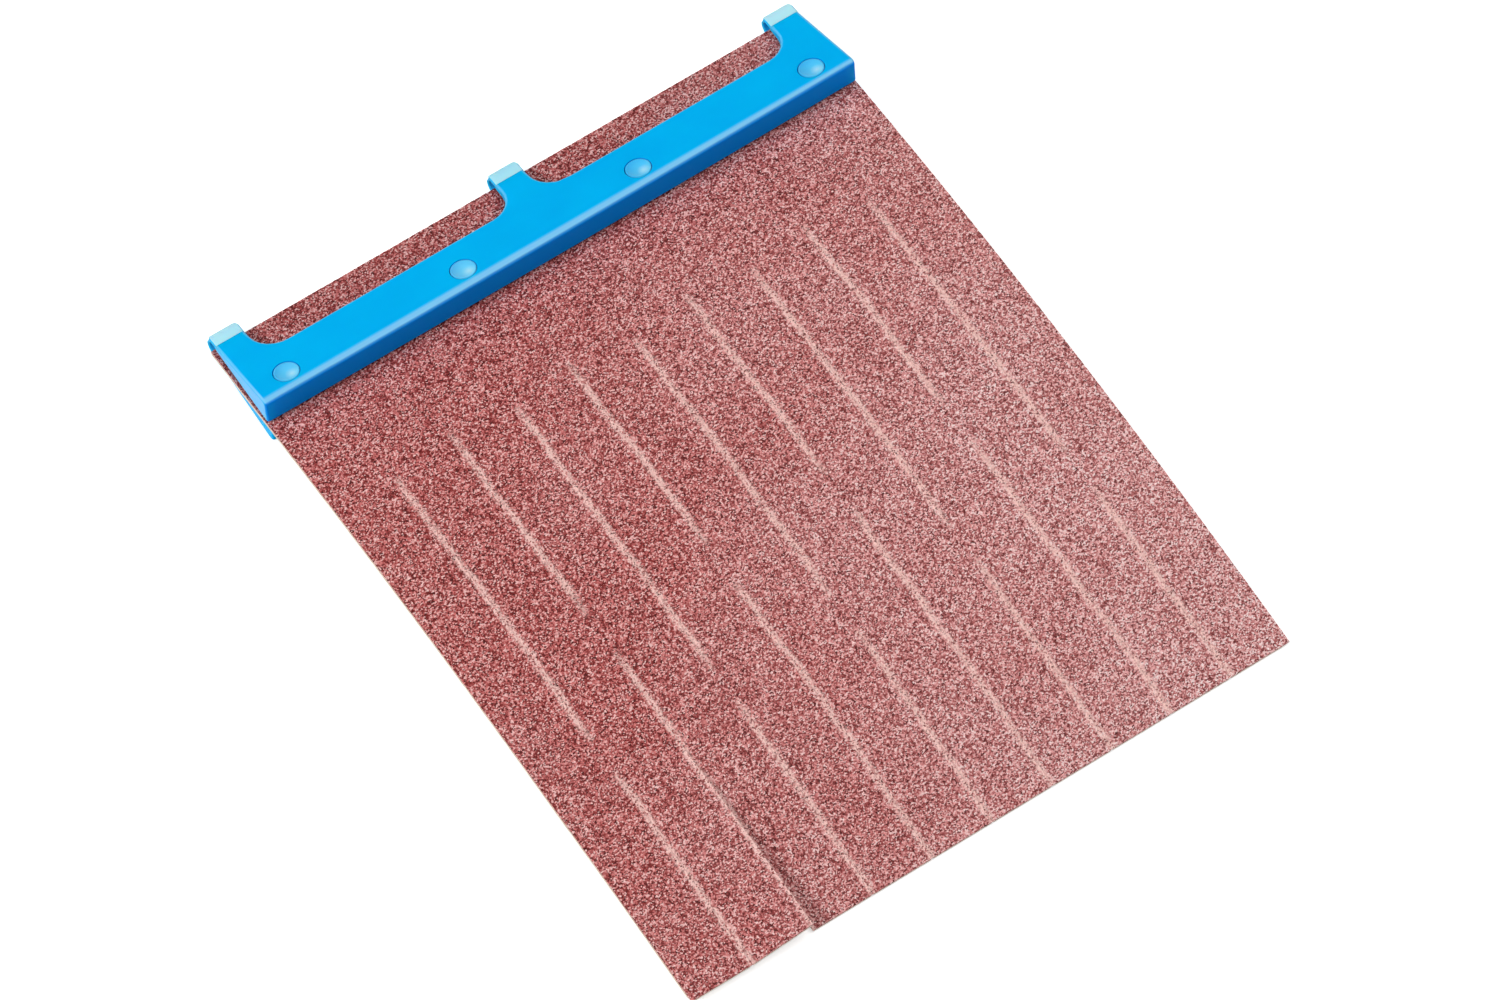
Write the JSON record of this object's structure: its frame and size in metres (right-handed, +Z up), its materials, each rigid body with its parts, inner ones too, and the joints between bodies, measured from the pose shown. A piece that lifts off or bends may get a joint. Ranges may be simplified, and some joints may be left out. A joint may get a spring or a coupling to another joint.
{
  "type": "slit abrasive flap in a hinged clip bar",
  "caption": "Slit coated-abrasive sheet with flexing fingers, gripped along one edge in a hinged wedge-shaped clip bar.",
  "frame": {"origin": "on the ground under the middle of the part's length and width", "axes": "+X along the clip bar, +Y from the free fingers to the clip, +Z up"},
  "size_m": [0.1, 0.124, 0.0088],
  "materials": {
    "jaw": "satin blue moulding",
    "stud": "thin pale blue web",
    "strap": "thin pale blue web",
    "grit": "red-brown abrasive grain on cloth"
  },
  "bodies": {
    "clip_and_sheet": {"back_jaw": "jaw", "abrasive_sheet": "grit", "hinge_strap_left": "strap", "hinge_strap_middle": "strap", "hinge_strap_right": "strap"},
    "front_jaw": {"front_jaw": "jaw", "locking_stud_1": "stud", "locking_stud_2": "stud", "locking_stud_3": "stud", "locking_stud_4": "stud"},
    "sheet_finger_01": {"sheet_finger_01": "grit"},
    "sheet_finger_02": {"sheet_finger_02": "grit"},
    "sheet_finger_03": {"sheet_finger_03": "grit"},
    "sheet_finger_04": {"sheet_finger_04": "grit"},
    "sheet_finger_05": {"sheet_finger_05": "grit"},
    "sheet_finger_06": {"sheet_finger_06": "grit"},
    "sheet_finger_07": {"sheet_finger_07": "grit"},
    "sheet_finger_08": {"sheet_finger_08": "grit"},
    "sheet_finger_09": {"sheet_finger_09": "grit"},
    "sheet_finger_10": {"sheet_finger_10": "grit"}
  },
  "joints": [
    {"name": "clip_opening", "type": "hinge", "parent": "clip_and_sheet", "child": "front_jaw", "pos_m": [0, 0.06166, 0.00174], "axis": [-1, 0, 0], "range_deg": [0, 140], "deforming": ["hinge_strap_left", "hinge_strap_middle", "hinge_strap_right"]},
    {"name": "sheet_finger_01_flex", "type": "hinge", "parent": "clip_and_sheet", "child": "sheet_finger_01", "pos_m": [-0.045, -0.02856, 0.00386], "axis": [-1, 0, 0], "range_deg": [-30, 30], "stiffness_Nm_per_rad": 0.008},
    {"name": "sheet_finger_02_flex", "type": "hinge", "parent": "clip_and_sheet", "child": "sheet_finger_02", "pos_m": [-0.035, -0.02856, 0.00386], "axis": [-1, 0, 0], "range_deg": [-30, 30], "stiffness_Nm_per_rad": 0.008},
    {"name": "sheet_finger_03_flex", "type": "hinge", "parent": "clip_and_sheet", "child": "sheet_finger_03", "pos_m": [-0.025, -0.02856, 0.00386], "axis": [-1, 0, 0], "range_deg": [-30, 30], "stiffness_Nm_per_rad": 0.008},
    {"name": "sheet_finger_04_flex", "type": "hinge", "parent": "clip_and_sheet", "child": "sheet_finger_04", "pos_m": [-0.015, -0.02856, 0.00386], "axis": [-1, 0, 0], "range_deg": [-30, 30], "stiffness_Nm_per_rad": 0.008},
    {"name": "sheet_finger_05_flex", "type": "hinge", "parent": "clip_and_sheet", "child": "sheet_finger_05", "pos_m": [-0.005, -0.02856, 0.00386], "axis": [-1, 0, 0], "range_deg": [-30, 30], "stiffness_Nm_per_rad": 0.008},
    {"name": "sheet_finger_06_flex", "type": "hinge", "parent": "clip_and_sheet", "child": "sheet_finger_06", "pos_m": [0.005, -0.02856, 0.00386], "axis": [-1, 0, 0], "range_deg": [-30, 30], "stiffness_Nm_per_rad": 0.008},
    {"name": "sheet_finger_07_flex", "type": "hinge", "parent": "clip_and_sheet", "child": "sheet_finger_07", "pos_m": [0.015, -0.02856, 0.00386], "axis": [-1, 0, 0], "range_deg": [-30, 30], "stiffness_Nm_per_rad": 0.008},
    {"name": "sheet_finger_08_flex", "type": "hinge", "parent": "clip_and_sheet", "child": "sheet_finger_08", "pos_m": [0.025, -0.02856, 0.00386], "axis": [-1, 0, 0], "range_deg": [-30, 30], "stiffness_Nm_per_rad": 0.008},
    {"name": "sheet_finger_09_flex", "type": "hinge", "parent": "clip_and_sheet", "child": "sheet_finger_09", "pos_m": [0.035, -0.02856, 0.00386], "axis": [-1, 0, 0], "range_deg": [-30, 30], "stiffness_Nm_per_rad": 0.008},
    {"name": "sheet_finger_10_flex", "type": "hinge", "parent": "clip_and_sheet", "child": "sheet_finger_10", "pos_m": [0.045, -0.02856, 0.00386], "axis": [-1, 0, 0], "range_deg": [-30, 30], "stiffness_Nm_per_rad": 0.008}
  ]
}
